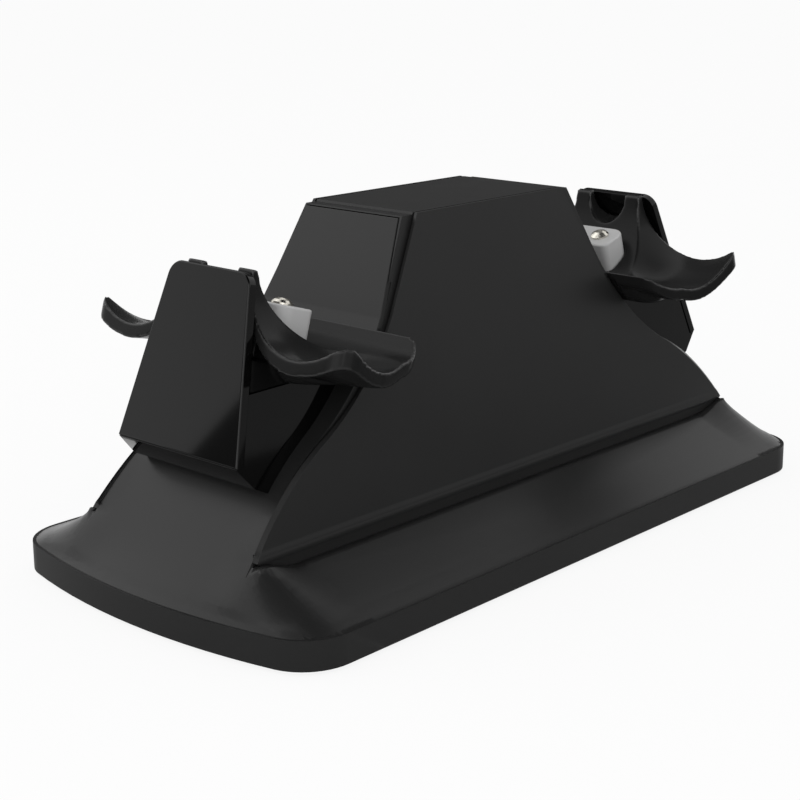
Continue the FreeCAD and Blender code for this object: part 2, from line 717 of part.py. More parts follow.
# What the tower and its plates take up, seen from the cradles
tower_hull = common(
    "tower_hull",
    extrude("hull_flanks", flank_outline("hull_outline", roof_z, ledge_z, proud=size("cap_proud")), span, True),
    extrude("hull_faces", tower_section("hull_section", as_size(0.0), ledge_z), span, True),
)
tower_clear = common(
    "tower_clear",
    extrude("clear_flanks", flank_outline("clear_outline", roof_z, ledge_z, -size("fit_gap") * 3, size("cap_proud")),
            span, True),
    extrude("clear_faces", tower_section("clear_section", -size("fit_gap"), ledge_z), span, True),
)

# Cradle body: tapered block with a slanted chin, seated on the flank
chin_slope = size("chin_drop") / size("chin_depth")
body_reach = size("seat_end") + size("chin_depth")
lean_rise = math.tan(math.radians(sheet.cradle_lean))
lean_scale = math.cos(math.radians(sheet.cradle_lean))


def level_line(x):
    """Height in the leaning frame of the seat's level underside, at x along the dock."""
    return (size("seat_underside") - base_z - size("cradle_height")) / lean_scale + as_size(x) * lean_rise


body_side = profile("body_side", front_plane(LEANING), [
    (size("side_inset"), -chin_slope * size("side_inset")),
    (size("chin_depth"), -size("chin_drop")),
    (body_reach, -size("chin_drop") * 2.6),
    (body_reach, level_line(body_reach)),
    (size("cover_thickness"), level_line(size("cover_thickness"))),
    (size("cover_thickness"), as_size(0.0)),
    (size("side_inset"), as_size(0.0)),
])
body_block = common(
    "body_block",
    extrude("body_sweep", body_side, span, True),
    extrude("body_taper", cradle_outline("body_outline", 0.0, size("side_inset"),
                                         -size("chin_drop") * 2.6, size("body_top") * 1.2), body_reach),
)
well_start = size("cover_thickness") + size("wall")
well_half = size("seat_board_width") / 2 + size("fit_gap")
well = extrude(
    "body_well",
    profile("well_outline", plan_plane((size("board_level") - size("well_depth")).number, LEANING), [
        (well_start, -well_half), (body_reach, -well_half), (body_reach, well_half), (well_start, well_half),
    ]),
    size("well_depth") * 2,
)
flank_shell = common(
    "flank_shell",
    extrude("flank_grown", flank_outline("flank_grown_outline", roof_z, ledge_z, -size("wall") * 2,
                                         size("cap_proud")), span, True),
    extrude("flank_faces", tower_section("flank_section", as_size(0.0), ledge_z), span, True),
)
body_solid = cut("body_solid", body_block, tower_hull)
body = keep(cut("cradle_body", body_solid, cut("well_room", well, flank_shell)), "cradle_body_left")


# Outline of the contact block in plan, grown by a clearance for the hole in the seat
def block_outline(name, height, grown):
    near = size("block_centre") - size("block_depth") / 2 - grown
    far = size("block_centre") + size("block_depth") / 2 + grown
    side = size("block_half_width") + grown
    outer, inner = size("block_outer_corner") + grown, size("block_inner_corner") + grown
    corners = [
        (near + outer, -side), (far - inner, -side), (far, -side + inner), (far, side - inner),
        (far - inner, side), (near + outer, side), (near, side - outer), (near, -side + outer),
    ]
    arcs = {1: (inner, -1), 3: (inner, -1), 5: (outer, -1), 7: (outer, -1)}
    return profile(name, plan_plane(as_size(height).number, LEANING), corners, arcs)


# Seat: posts, trough and two scooped wings. Its curved air spaces are lofts between stations
def number_of(value):
    return as_size(value).number


seat_start, seat_end = sheet.seat_start, sheet.seat_end
wing_half, floor_line = sheet.wing_half_width, sheet.ramp_floor
ramp = sheet.ramp_radius
low_line = sheet.post_half_width + ramp
air_top = sheet.post_height + sheet.wing_band * 2


def wing_station(x, low, edge):
    """Air above a wing at one station: down the ramp, along the scoop, up past its rim."""
    outer = wing_half + sheet.wing_band
    post, shoulder = sheet.post_half_width, low + ramp
    rise = edge - low
    ramp_arc = Part.Arc(
        FreeCAD.Vector(x, -post, shoulder),
        FreeCAD.Vector(x, -low_line + ramp * math.sqrt(0.5), shoulder - ramp * math.sqrt(0.5)),
        FreeCAD.Vector(x, -low_line, low),
    )
    scoop = Part.BezierCurve()
    scoop.setPoles([
        FreeCAD.Vector(x, -low_line, low),
        FreeCAD.Vector(x, -low_line - (outer - low_line) * 0.55, low),
        FreeCAD.Vector(x, -outer, low + rise * 1.25),
    ])
    corners = [
        FreeCAD.Vector(x, -outer, low + rise * 1.25), FreeCAD.Vector(x, -outer, air_top),
        FreeCAD.Vector(x, -post, air_top), FreeCAD.Vector(x, -post, shoulder),
    ]
    edges = [ramp_arc.toShape(), scoop.toShape()]
    edges += [Part.makeLine(corners[i], corners[i + 1]) for i in range(3)]
    return Part.Wire(edges)


def wing_air(drop, tip_rise):
    """Air above both wings, lowered by drop, in the leaning frame."""
    inner = sheet.inner_rim_height
    stations = [
        (seat_start - 4.0, floor_line, floor_line + tip_rise),
        (seat_start + 2.5, floor_line, floor_line + tip_rise),
        (seat_start + (seat_end - seat_start) * 0.32, floor_line, floor_line + sheet.wing_mid_rise * 1.6),
        (seat_start + (seat_end - seat_start) * 0.56, floor_line, floor_line + sheet.wing_mid_rise),
        (seat_start + (seat_end - seat_start) * 0.80, floor_line + (inner - floor_line) * 0.40,
         floor_line + (inner - floor_line) * 0.54),
        (seat_end + 1.0, inner + 0.2, inner + 0.9),
    ]
    solid = Part.makeLoft([wing_station(*station) for station in stations], True, False)
    solid.translate(FreeCAD.Vector(0, 0, -drop))
    return solid.fuse(solid.mirror(FreeCAD.Vector(), FreeCAD.Vector(0, 1, 0)))


def trough_air(drop):
    """Air between the posts and the inner rim: a quarter round down, then a rise to the rim."""
    start, radius, low = sheet.trough_start, sheet.trough_radius, sheet.floor_height
    bottom_x = start + radius
    rise = sheet.inner_rim_height - low
    run = seat_end - bottom_x
    rim_radius = (run**2 + rise**2) / (2 * rise)
    half_turn = math.asin(run / rim_radius) / 2
    down = Part.Arc(
        FreeCAD.Vector(start, 0, low + radius),
        FreeCAD.Vector(bottom_x - radius * math.sqrt(0.5), 0, low + radius * (1 - math.sqrt(0.5))),
        FreeCAD.Vector(bottom_x, 0, low),
    )
    up = Part.Arc(
        FreeCAD.Vector(bottom_x, 0, low),
        FreeCAD.Vector(bottom_x + rim_radius * math.sin(half_turn), 0,
                       low + rim_radius * (1 - math.cos(half_turn))),
        FreeCAD.Vector(seat_end, 0, low + rise),
    )
    corners = [
        FreeCAD.Vector(seat_end, 0, low + rise), FreeCAD.Vector(seat_end + 3, 0, low + rise + 2),
        FreeCAD.Vector(seat_end + 3, 0, low + radius + 5), FreeCAD.Vector(start, 0, low + radius + 5),
        FreeCAD.Vector(start, 0, low + radius),
    ]
    edges = [down.toShape(), up.toShape()]
    edges += [Part.makeLine(corners[i], corners[i + 1]) for i in range(4)]
    face = Part.Face(Part.Wire(edges))
    face.translate(FreeCAD.Vector(0, -wing_half * 1.5, -drop))
    return face.extrude(FreeCAD.Vector(0, wing_half * 3, 0))


def rounded_block(points, height, *radii):
    """Upright block on points, mirrored to both sides. radii belong to the last points."""
    outline = [FreeCAD.Vector(x, y, 0) for x, y in points]
    outline += [FreeCAD.Vector(x, -y, 0) for x, y in reversed(points)]
    solid = Part.Face(Part.makePolygon(outline + outline[:1])).extrude(FreeCAD.Vector(0, 0, height))
    for radius, (x, y) in zip(radii, points[-len(radii):]):
        if not radius:
            continue
        near = [
            edge for edge in solid.Edges
            if abs(edge.CenterOfMass.x - x) < 1e-4 and abs(abs(edge.CenterOfMass.y) - y) < 1e-4
            and abs(edge.Vertexes[0].Z - edge.Vertexes[-1].Z) > 1
        ]
        solid = solid.makeFillet(radius, near)
    return solid


def rim_block_of_seat(height):
    """Block on the seat's full plan."""
    return rounded_block([
        (seat_start, 0.5), (seat_start + 0.4, sheet.post_half_width + 4), (seat_start + 0.6, wing_half),
        (seat_start + (seat_end - seat_start) * 0.55, sheet.wing_waist),
        (seat_end, sheet.wing_inner_half_width),
    ], sheet.post_height, sheet.wing_tip_corner, 0.0, sheet.wing_inner_corner)


def below_seat():
    """Everything below the seat's level underside, in the leaning frame."""
    reach = wing_half * 4
    block = Part.makeBox(reach, reach, reach,
                         FreeCAD.Vector(-reach, -reach / 2, sheet.seat_underside - reach))
    block.Placement = LEANING.inverse()
    return block


def seat_shape():
    top, band_depth = sheet.post_height, sheet.wing_band
    air = wing_air(0.0, sheet.wing_tip_rise).fuse(trough_air(0.0))
    under = Part.makeBox(seat_end * 2, wing_half * 4, top * 2,
                         FreeCAD.Vector(-seat_end / 2, -wing_half * 2, -top / 2))
    under = under.cut(wing_air(band_depth, sheet.wing_under_rise).fuse(trough_air(band_depth)))
    band = rim_block_of_seat(top).cut(air).cut(under)
    inset = sheet.belly_inset
    core = rounded_block([
        (seat_start + sheet.belly_start, wing_half - inset),
        (seat_end - inset / 3, sheet.wing_inner_half_width - inset),
    ], top, sheet.belly_corner, sheet.belly_inner_corner).cut(below_seat())
    core_foot = [edge for edge in core.Edges
                 if all(abs(LEANING.multVec(vertex.Point).z - sheet.seat_underside) < 1e-5
                        for vertex in edge.Vertexes)]
    core = core.makeFillet(sheet.belly_round, core_foot).cut(air)
    posts = Part.makeBox(sheet.trough_radius, sheet.post_half_width * 2, top,
                         FreeCAD.Vector(seat_start, -sheet.post_half_width, 0)).cut(air).cut(below_seat())
    neck_foot, neck_top = sheet.cover_half_foot, sheet.body_top
    neck_end = neck_foot + (sheet.cover_half_top - neck_foot) * neck_top / sheet.cover_length
    corners = [(-neck_foot, 0), (neck_foot, 0), (neck_end, neck_top), (-neck_end, neck_top)]
    shy = sheet.side_inset
    neck_outline = [FreeCAD.Vector(seat_start, y - math.copysign(shy, y), z) for y, z in corners]
    neck = Part.Face(Part.makePolygon(neck_outline + neck_outline[:1]))
    neck = neck.extrude(FreeCAD.Vector(seat_end - seat_start - shy, 0, 0)).cut(below_seat())
    notch_foot = top - sheet.notch_depth
    notch_half = sheet.notch_half_width
    notch = Part.makeBox(sheet.trough_radius * 2, notch_half * 2, sheet.notch_depth,
                         FreeCAD.Vector(-sheet.trough_radius, -notch_half, notch_foot + notch_half))
    notch = notch.fuse(Part.makeCylinder(
        notch_half, sheet.trough_radius * 2,
        FreeCAD.Vector(-sheet.trough_radius, 0, notch_foot + notch_half), FreeCAD.Vector(1, 0, 0)))
    solid = band.fuse([core, posts, neck]).cut(notch).removeSplitter()
    solid.Placement = LEANING
    return solid


seat_form = doc.addObject("Part::Feature", "seat_form")
seat_form.Shape = seat_shape()
block_well = extrude(
    "block_well", block_outline("block_well_outline", size("board_level"), size("fit_gap")),
    size("post_height"))


def board_outline(name, height, grown):
    """Outline of the small board, grown by a clearance."""
    near = size("block_centre") - size("seat_board_depth") / 2 - grown
    far = size("block_centre") + size("seat_board_depth") / 2 + grown
    side = size("seat_board_width") / 2 + grown
    corners = [(near, -side), (far, -side), (far, side), (near, side)]
    return profile(name, plan_plane(number_of(height), LEANING), corners)


board_room = extrude(
    "board_room",
    board_outline("board_room_outline", size("board_level") - size("well_depth"), size("fit_gap")),
    size("well_depth") + size("board_thickness"),
)
board_clear = extrude(
    "board_clear",
    board_outline("board_clear_outline", size("board_level") - size("fit_gap"), size("fit_gap")),
    size("board_thickness") + size("fit_gap") * 2,
)
boards_clear = fuse("boards_clear", board_clear, mirrored("board_clear_right", board_clear, (1, 0, 0)))
keep(cut("housing_moulding", housing_open, boards_clear), "housing")
seat_tools = fuse("seat_tools", block_well, board_room, tower_clear)
keep(cut("seat_moulding", seat_form, seat_tools), "cradle_tray_left")

# Contact block standing on its small board
block_foot_z = size("board_level") + size("board_thickness")
block_blank = extrude("block_blank", block_outline("block_plan", block_foot_z, 0.0),
                      size("block_top") - block_foot_z)
doc.recompute()
block_rounded = doc.addObject("Part::Fillet", "block_rounded")
block_rounded.Base = block_blank
top_edges = [
    number for number, edge in enumerate(block_blank.Shape.Edges, start=1)
    if all(abs(LEANING.inverse().multVec(vertex.Point).z - sheet.block_top) < 1e-5 for vertex in edge.Vertexes)
]
block_rounded.Edges = [(number, sheet.block_round, sheet.block_round) for number in top_edges]


def contact_stem(name, radius, foot, height, y):
    stem = doc.addObject("Part::Cylinder", name)
    bind(stem, "Radius", radius)
    bind(stem, "Height", height)
    stem.Placement = LEANING * FreeCAD.Placement(
        FreeCAD.Vector(sheet.block_centre, y, as_size(foot).number), FreeCAD.Rotation())
    return stem


contact_places = (-sheet.contact_spacing / 2, sheet.contact_spacing / 2)
stem_rooms = fuse("stem_rooms", *[
    contact_stem(f"stem_room_{number}", size("contact_stem") + size("fit_gap") / 2, block_foot_z,
                 size("block_top") - block_foot_z, y)
    for number, y in enumerate(contact_places)
])
keep(cut("block_drilled", block_rounded, stem_rooms), "plug_block_left")


def contact(number, y):
    """Domed contact with a stem down to the board. Two cones make the dome."""
    stem = contact_stem(f"stem_{number}", size("contact_stem"), block_foot_z, size("block_top") - block_foot_z, y)
    level, wide = size("block_top"), size("contact_radius")
    pieces = [contact_stem(f"button_{number}", wide, level, size("contact_height") * 0.3, y), stem]
    level = level + size("contact_height") * 0.3
    for turn, (rise, shrink) in enumerate([(0.4, 0.78), (0.3, 0.45)]):
        cone = doc.addObject("Part::Cone", f"dome_{number}_{turn}")
        bind(cone, "Radius1", wide)
        wide = size("contact_radius") * shrink
        bind(cone, "Radius2", wide)
        bind(cone, "Height", size("contact_height") * rise)
        middle = FreeCAD.Vector(sheet.block_centre, y, level.number)
        cone.Placement = LEANING * FreeCAD.Placement(middle, FreeCAD.Rotation())
        pieces.append(cone)
        level = level + size("contact_height") * rise
    return fuse(f"contact_{number}", *pieces)


contacts = doc.addObject("Part::Compound", "contact_pair")
contacts.Links = [contact(number, y) for number, y in enumerate(contact_places)]
keep(contacts, "contacts_left")

seat_board = extrude("seat_board", board_outline("seat_board_outline", size("board_level"), 0.0),
                     size("board_thickness"))
keep(seat_board, "contact_board_left")

# The right-hand cradle is the mirror image of the left
for thing in list(nodes):
    if thing.Label in ("cradle_cover_left", "cradle_body_left", "cradle_tray_left",
                       "plug_block_left", "contacts_left", "contact_board_left"):
        right = thing.Label.replace("_left", "_right")
        keep(mirrored(right + "_mirror", thing, (1, 0, 0)), right)

doc.recompute()
failed = [thing.Label for thing in doc.Objects if {"Invalid", "Error"} & set(thing.State)]
failed += [node.Label for node in nodes if node.Shape.isNull() or not node.Shape.isValid()]
if failed:
    raise SystemExit(f"these did not build: {failed}")
for node in nodes:
    node.Shape.exportStep(f"parts/{node.Label}.step")
    print(node.Label, len(node.Shape.Solids), round(node.Shape.Volume))
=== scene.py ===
# %% [markdown]
# # A controller charging dock
#
# The dock is a low black plastic base with a tower in its middle and a leaning seat at each end. Its
# solid model is already packed, so this lesson starts by loading those solids as a fixed frame. Nothing
# in the frame is moved. We only give each solid a finish, and where an edge or a hollow has to look
# softer than the solid's own, we make a copy with rounder shapes that stands in its place.

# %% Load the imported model
import json
import math

import bmesh
import bpy
from mathutils import Matrix, Vector
from mathutils.bvhtree import BVHTree


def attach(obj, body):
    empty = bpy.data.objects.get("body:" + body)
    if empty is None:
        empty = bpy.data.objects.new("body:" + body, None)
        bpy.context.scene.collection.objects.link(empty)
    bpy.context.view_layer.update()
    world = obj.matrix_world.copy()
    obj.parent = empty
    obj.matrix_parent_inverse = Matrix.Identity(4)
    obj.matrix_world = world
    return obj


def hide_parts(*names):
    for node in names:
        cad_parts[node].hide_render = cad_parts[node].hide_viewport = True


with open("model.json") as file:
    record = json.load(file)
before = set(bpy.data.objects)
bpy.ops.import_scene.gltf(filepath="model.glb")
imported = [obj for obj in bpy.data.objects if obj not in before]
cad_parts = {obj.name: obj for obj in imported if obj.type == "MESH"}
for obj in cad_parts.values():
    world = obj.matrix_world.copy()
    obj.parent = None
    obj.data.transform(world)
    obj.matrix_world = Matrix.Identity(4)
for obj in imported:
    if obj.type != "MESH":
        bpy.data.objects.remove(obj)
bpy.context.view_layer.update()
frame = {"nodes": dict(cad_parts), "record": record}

nodes = frame["nodes"]
print("loaded", len(nodes), "solids")

# %% [markdown]
# ## The camera
#
# The photograph looks at the dock from the front left, a little from above. The angles, distance and
# lens were found by matching the corners of the base and the tower. The small shift slides the picture
# without turning the camera, as a view camera does.

# %% Set up the camera
MM = 0.001
AZIMUTH, ELEVATION, ROLL = math.radians(-48.38), math.radians(14.03), math.radians(-0.1)
TARGET, DISTANCE = Vector((0.0, 0.0, 0.0442)), 0.46007
SENSOR, LENS, SHIFT_X, SHIFT_Y = 36, 75.06, -0.0505, -0.0495

back = Vector((
    math.sin(AZIMUTH) * math.cos(ELEVATION), -math.cos(AZIMUTH) * math.cos(ELEVATION), math.sin(ELEVATION),
))
camera_data = bpy.data.cameras.new("camera")
camera_data.sensor_width = SENSOR
camera_data.lens = LENS
camera_data.shift_x = SHIFT_X
camera_data.shift_y = SHIFT_Y
camera = bpy.data.objects.new("camera", camera_data)
turn = back.to_track_quat("Z", "Y").to_matrix().to_4x4() @ Matrix.Rotation(ROLL, 4, "Z")
camera.matrix_world = Matrix.Translation(TARGET + back * DISTANCE) @ turn
scene = bpy.context.scene
scene.collection.objects.link(camera)
scene.camera = camera
scene.view_settings.view_transform = "Standard"
print("camera at", [round(value, 3) for value in camera.location])

# %% [markdown]
# ## Floor, background and light
#
# The dock is photographed on white. The Light Path node tells which rays show the background: those from
# the camera, and those that a glossy or clear surface sends on. For them the world is plain white. The
# floor glows white too, but a small share of it stays a plain pale board, and that share keeps a faint
# shadow under the dock. For all other rays the floor is only the board.

# %% Write the node helpers
def grey(level):
    """A neutral colour."""
    return (level, level, level, 1.0)


def link(tree, source, target):
    """Joins two sockets of one node tree."""
    tree.links.new(source, target)


def math_node(tree, operation, first, second):
    """A math node on two sockets or numbers, and its result."""
    node = tree.nodes.new("ShaderNodeMath")
    node.operation = operation
    for place, value in enumerate((first, second)):
        if isinstance(value, (int, float)):
            node.inputs[place].default_value = value
        else:
            link(tree, value, node.inputs[place])
    return node.outputs[0]


def new_material(name):
    """A new material, its node tree and the shader that it starts with."""
    material = bpy.data.materials.new(name)
    material.use_nodes = True
    return material, material.node_tree, material.node_tree.nodes["Principled BSDF"]


print("white is", grey(1.0))

# %% Make the world, white wherever it is seen
def seen_directly(tree):
    """A value of 1 for camera, glossy and transmission rays, and 0 for all others."""
    path = tree.nodes.new("ShaderNodeLightPath")
    total = path.outputs["Is Camera Ray"]
    for name in ("Is Glossy Ray", "Is Transmission Ray"):
        total = math_node(tree, "MAXIMUM", total, path.outputs[name])
    return total


def show_blend(tree, share, first, second, output):
    """Mixes two shaders by a share, and joins the mix to the output node of that name."""
    blend = tree.nodes.new("ShaderNodeMixShader")
    link(tree, share, blend.inputs["Fac"])
    link(tree, first, blend.inputs[1])
    link(tree, second, blend.inputs[2])
    link(tree, blend.outputs["Shader"], tree.nodes[output].inputs["Surface"])


WORLD_LEVEL = 0.72

world = bpy.data.worlds.new("studio")
scene.world = world
world.use_nodes = True
tree = world.node_tree
ambient = tree.nodes["Background"]
ambient.inputs["Color"].default_value = grey(1.0)
ambient.inputs["Strength"].default_value = WORLD_LEVEL
white = tree.nodes.new("ShaderNodeBackground")
white.inputs["Color"].default_value = grey(1.0)
white.inputs["Strength"].default_value = 1.0
seen = seen_directly(tree)
show_blend(tree, seen, ambient.outputs["Background"], white.outputs["Background"], "World Output")
print("world level:", WORLD_LEVEL)

# %% Make the floor
FLOOR_RADIUS, BOARD_LEVEL, BOARD_ROUGHNESS = 6.0, 0.97, 0.9
GLOW_SHARE = 0.88

bm = bmesh.new()
bmesh.ops.create_circle(bm, cap_ends=True, segments=64, radius=FLOOR_RADIUS)
floor_mesh = bpy.data.meshes.new("floor")
bm.to_mesh(floor_mesh)
bm.free()
floor = bpy.data.objects.new("floor", floor_mesh)
scene.collection.objects.link(floor)

floor_paint, tree, board = new_material("floor_paint")
board.inputs["Base Color"].default_value = grey(BOARD_LEVEL)
board.inputs["Roughness"].default_value = BOARD_ROUGHNESS
board.inputs["Specular IOR Level"].default_value = 0.0
glow = tree.nodes.new("ShaderNodeEmission")
share = math_node(tree, "MULTIPLY", seen_directly(tree), GLOW_SHARE)
show_blend(tree, share, board.outputs["BSDF"], glow.outputs["Emission"], "Material Output")
floor_mesh.materials.append(floor_paint)
print("floor: a disc of", FLOOR_RADIUS, "m, glowing by a share of", GLOW_SHARE)

# %% [markdown]
# The world lights the dock evenly from all sides. Large soft lamps then model it: one behind on the
# left, one on the left, a weaker one at the front right, and a narrow strip close to the front left
# corner, which draws light lines along the edges there.

# %% Light the scene
def stood_at(place, aim, front):
    """The matrix that stands a thing at place and turns its front axis, Z or -Z, towards aim."""
    facing = Vector(aim) - Vector(place)
    return Matrix.Translation(Vector(place)) @ facing.to_track_quat(front, "Y").to_matrix().to_4x4()


def softbox(name, place, aim, width, height, power):
    """A rectangular lamp at place that faces aim. Lengths are in metres, the power is in watts."""
    data = bpy.data.lights.new(name, "AREA")
    data.shape = "RECTANGLE"
    data.size = width
    data.size_y = height
    data.energy = power
    lamp = bpy.data.objects.new(name, data)
    lamp.matrix_world = stood_at(place, aim, "-Z")
    scene.collection.objects.link(lamp)


DOCK_BASE = (0, 0, 0.03)
softbox("back_left_box", (-0.45, 0.75, 0.85), DOCK_BASE, width=0.9, height=0.9, power=1.4)
softbox("left_box", (-1.0, -0.3, 0.5), DOCK_BASE, width=0.8, height=0.8, power=2.6)
softbox("front_right_box", (0.4, -0.95, 0.45), DOCK_BASE, width=0.7, height=0.5, power=0.8)
softbox("edge_strip", (-0.62, -0.78, 0.3), (-0.09, -0.02, 0.06), width=0.12, height=0.4, power=0.4)

# %% [markdown]
# ## Dark cards
#
# A black object shows little but its reflections. On plain white it would look grey and flat, so a
# photographer stands dark cards round it, just outside the picture. Each card darkens the faces that
# mirror it, and the change from light to dark draws the form. Our cards are seen by glossy rays only:
# they cast no shadow and the camera never sees them. Two small ones lie on the floor right beside the
# dock and are painted shadow: they stand in for the floor's shadow there, as the dock mirrors it.

# %% Stand the cards round the dock
def dark_card(name, place, aim, width, height, level, roll=0.0):
    """A card at place that faces aim. level is how light it looks in a reflection, 1 being white."""
    bm = bmesh.new()
    bmesh.ops.create_grid(bm, x_segments=1, y_segments=1, size=0.5)
    bmesh.ops.scale(bm, vec=(width, height, 1.0), verts=bm.verts)
    rolled = Matrix.Rotation(math.radians(roll), 4, "Z")
    bmesh.ops.transform(bm, matrix=stood_at(place, aim, "Z") @ rolled, verts=bm.verts)
    mesh = bpy.data.meshes.new(name)
    bm.to_mesh(mesh)
    bm.free()
    paint, tree, _ = new_material(name + "_paint")
    glow = tree.nodes.new("ShaderNodeEmission")
    glow.inputs["Color"].default_value = grey(level)
    link(tree, glow.outputs["Emission"], tree.nodes["Material Output"].inputs["Surface"])
    mesh.materials.append(paint)
    card = bpy.data.objects.new(name, mesh)
    scene.collection.objects.link(card)
    for ray in ("camera", "diffuse", "transmission", "volume_scatter", "shadow"):
        setattr(card, "visible_" + ray, False)


DOCK_MIDDLE = (0.0, 0.0, 0.05)
dark_card("card_right_back", (0.62, 0.55, 0.36), DOCK_MIDDLE, width=0.8, height=0.74, level=0.1)
dark_card("card_front_right", (0.42, -0.45, 0.12), DOCK_MIDDLE, width=0.9, height=0.34, level=0.4)
dark_card("card_above", (-0.12, -0.22, 0.65), (-0.12, -0.22, 0.0), width=0.85, height=0.62, level=0.0)
dark_card("card_floor", (0.25, -0.33, 0.001), (0.25, -0.33, 1.0), width=0.64, height=0.5, level=0.08)
# Painted shadow: the next two small cards lie on the floor right beside the front and the left end, and
# stand in for the floor's shadow there as the dock mirrors it.
dark_card(
    "painted_shadow_card_front", (0.02, -0.065, 0.0012), (0.02, -0.065, 1.0), width=0.2, height=0.04, level=0.28,
)
dark_card("painted_shadow_card_left", (-0.115, 0.05, 0.001), (-0.115, 0.05, 1.0), width=0.07, height=0.3, level=0.33)
dark_card(
    "card_cover", (-0.3658, 0.145, 0.0509), (-0.164, -0.0744, 0.0168), width=0.16, height=0.2, level=0.12,
    roll=109,
)

# %% [markdown]
# ## Finishes
#
# Moulded plastic is never quite even. The tool leaves a fine grain, and the gloss wanders a little
# across a large face. Both come from one node group that every plastic shares, with its own colour,
# grain size and gloss in each material. The group only puts out a colour, a roughness and a height, and
# the shader stays in the material.

# %% Build the shared plastic group
def new_group(name, inputs, outputs):
    """A node group, its input node and its output node. Each socket is given as a name and a kind."""
    group = bpy.data.node_groups.new(name, "ShaderNodeTree")
    for way, sockets in (("INPUT", inputs), ("OUTPUT", outputs)):
        for socket, kind in sockets:
            group.interface.new_socket(name=socket, in_out=way, socket_type="NodeSocket" + kind)
    print("group", name, "has", [item.name for item in group.interface.items_tree])
    return group, group.nodes.new("NodeGroupInput"), group.nodes.new("NodeGroupOutput")


def noise_node(tree, coordinates, scale, detail):
    """Noise between 0 and 1 on the given coordinates. The scale is a number or a socket."""
    node = tree.nodes.new("ShaderNodeTexNoise")
    link(tree, coordinates, node.inputs["Vector"])
    if isinstance(scale, (int, float)):
        node.inputs["Scale"].default_value = scale
    else:
        link(tree, scale, node.inputs["Scale"])
    node.inputs["Detail"].default_value = detail
    return node.outputs["Fac"]


CLOUD_SCALE, CLOUD_DETAIL, GRAIN_DETAIL = 35.0, 3.0, 2.0
NOISE_MIDDLE = 0.5

plastic_group, given, result = new_group(
    "moulded_plastic",
    [("Colour", "Color"), ("Colour drift", "Float"), ("Grain scale", "Float"), ("Roughness", "Float"),
     ("Roughness drift", "Float")],
    [("Colour", "Color"), ("Roughness", "Float"), ("Height", "Float")],
)
tree = plastic_group
on_object = tree.nodes.new("ShaderNodeTexCoord").outputs["Object"]
cloud = noise_node(tree, on_object, CLOUD_SCALE, CLOUD_DETAIL)
grain = noise_node(tree, on_object, given.outputs["Grain scale"], GRAIN_DETAIL)
swing = math_node(tree, "MULTIPLY", math_node(tree, "SUBTRACT", cloud, NOISE_MIDDLE), 2.0)
shade = math_node(tree, "ADD", math_node(tree, "MULTIPLY", swing, given.outputs["Colour drift"]), 1.0)
grain_swing = math_node(tree, "SUBTRACT", grain, NOISE_MIDDLE)
speck = math_node(tree, "MULTIPLY", grain_swing, given.outputs["Colour drift"])
shade = math_node(tree, "ADD", shade, speck)
tinted = tree.nodes.new("ShaderNodeVectorMath")
tinted.operation = "SCALE"
link(tree, given.outputs["Colour"], tinted.inputs[0])
link(tree, shade, tinted.inputs["Scale"])
link(tree, tinted.outputs["Vector"], result.inputs["Colour"])
gloss = math_node(tree, "MULTIPLY", swing, given.outputs["Roughness drift"])
link(tree, math_node(tree, "ADD", gloss, given.outputs["Roughness"]), result.inputs["Roughness"])
link(tree, grain, result.inputs["Height"])
print("nodes in the plastic group:", len(tree.nodes))

# %% [markdown]
# Each material places the group, then sets what is the same all over on the shader's own sockets. The
# bump distance is the depth of the grain: a few hundredths of a millimetre on the base, and far less on
# the polished parts.

# %% Make the plastics
PLASTIC_BUMP = 0.5


def place_group(tree, shader, group, values, strength, depth):
    """Places a group with its own values. Its roughness and, as a bump of that depth in mm, its
    height go to the shader."""
    finish = tree.nodes.new("ShaderNodeGroup")
    finish.node_tree = group
    for socket, value in values.items():
        finish.inputs[socket].default_value = value
    bump = tree.nodes.new("ShaderNodeBump")
    bump.inputs["Strength"].default_value = strength
    bump.inputs["Distance"].default_value = depth * MM
    link(tree, finish.outputs["Roughness"], shader.inputs["Roughness"])
    link(tree, finish.outputs["Height"], bump.inputs["Height"])
    link(tree, bump.outputs["Normal"], shader.inputs["Normal"])
    return finish


def plastic(name, level, roughness, grain_scale, grain_depth, specular, drift=0.08, gloss_drift=0.04):
    """A moulded plastic from the shared group. level is how light its colour is."""
    material, tree, shader = new_material(name)
    values = {
        "Colour": grey(level), "Colour drift": drift, "Grain scale": grain_scale,
        "Roughness": roughness, "Roughness drift": gloss_drift,
    }
    finish = place_group(tree, shader, plastic_group, values, PLASTIC_BUMP, grain_depth)
    link(tree, finish.outputs["Colour"], shader.inputs["Base Color"])
    shader.inputs["Specular IOR Level"].default_value = specular
    return material


# Each row: level, roughness, grain scale, grain depth in mm, specular level.
PLASTICS = {
    "housing_black": (0.016, 0.3, 3500, 0.012, 0.24),
    "plate_black": (0.014, 0.36, 5000, 0.01, 0.3),
    "panel_black": (0.013, 0.3, 5000, 0.008, 0.26),
    "seat_black": (0.011, 0.26, 5000, 0.004, 0.1),
    # Painted shade: the neck finish is a darker, duller black for the seat's neck, which lies in shade.
    "neck_painted_shade": (0.004, 0.6, 3000, 0.004, 0.05),
    "floor_black": (0.015, 0.5, 2500, 0.05, 0.2),
    "foot_rubber": (0.015, 0.85, 6000, 0.03, 0.1),
}
finishes = {name: plastic(name, *values) for name, values in PLASTICS.items()}
finishes["gloss_black"] = plastic("gloss_black", 0.002, 0.06, 3000, 0.001, 0.25, gloss_drift=0.01)
finishes["block_grey"] = plastic("block_grey", 0.5, 0.45, 5000, 0.015, 0.3, drift=0.04)
print("plastics:", sorted(finishes))

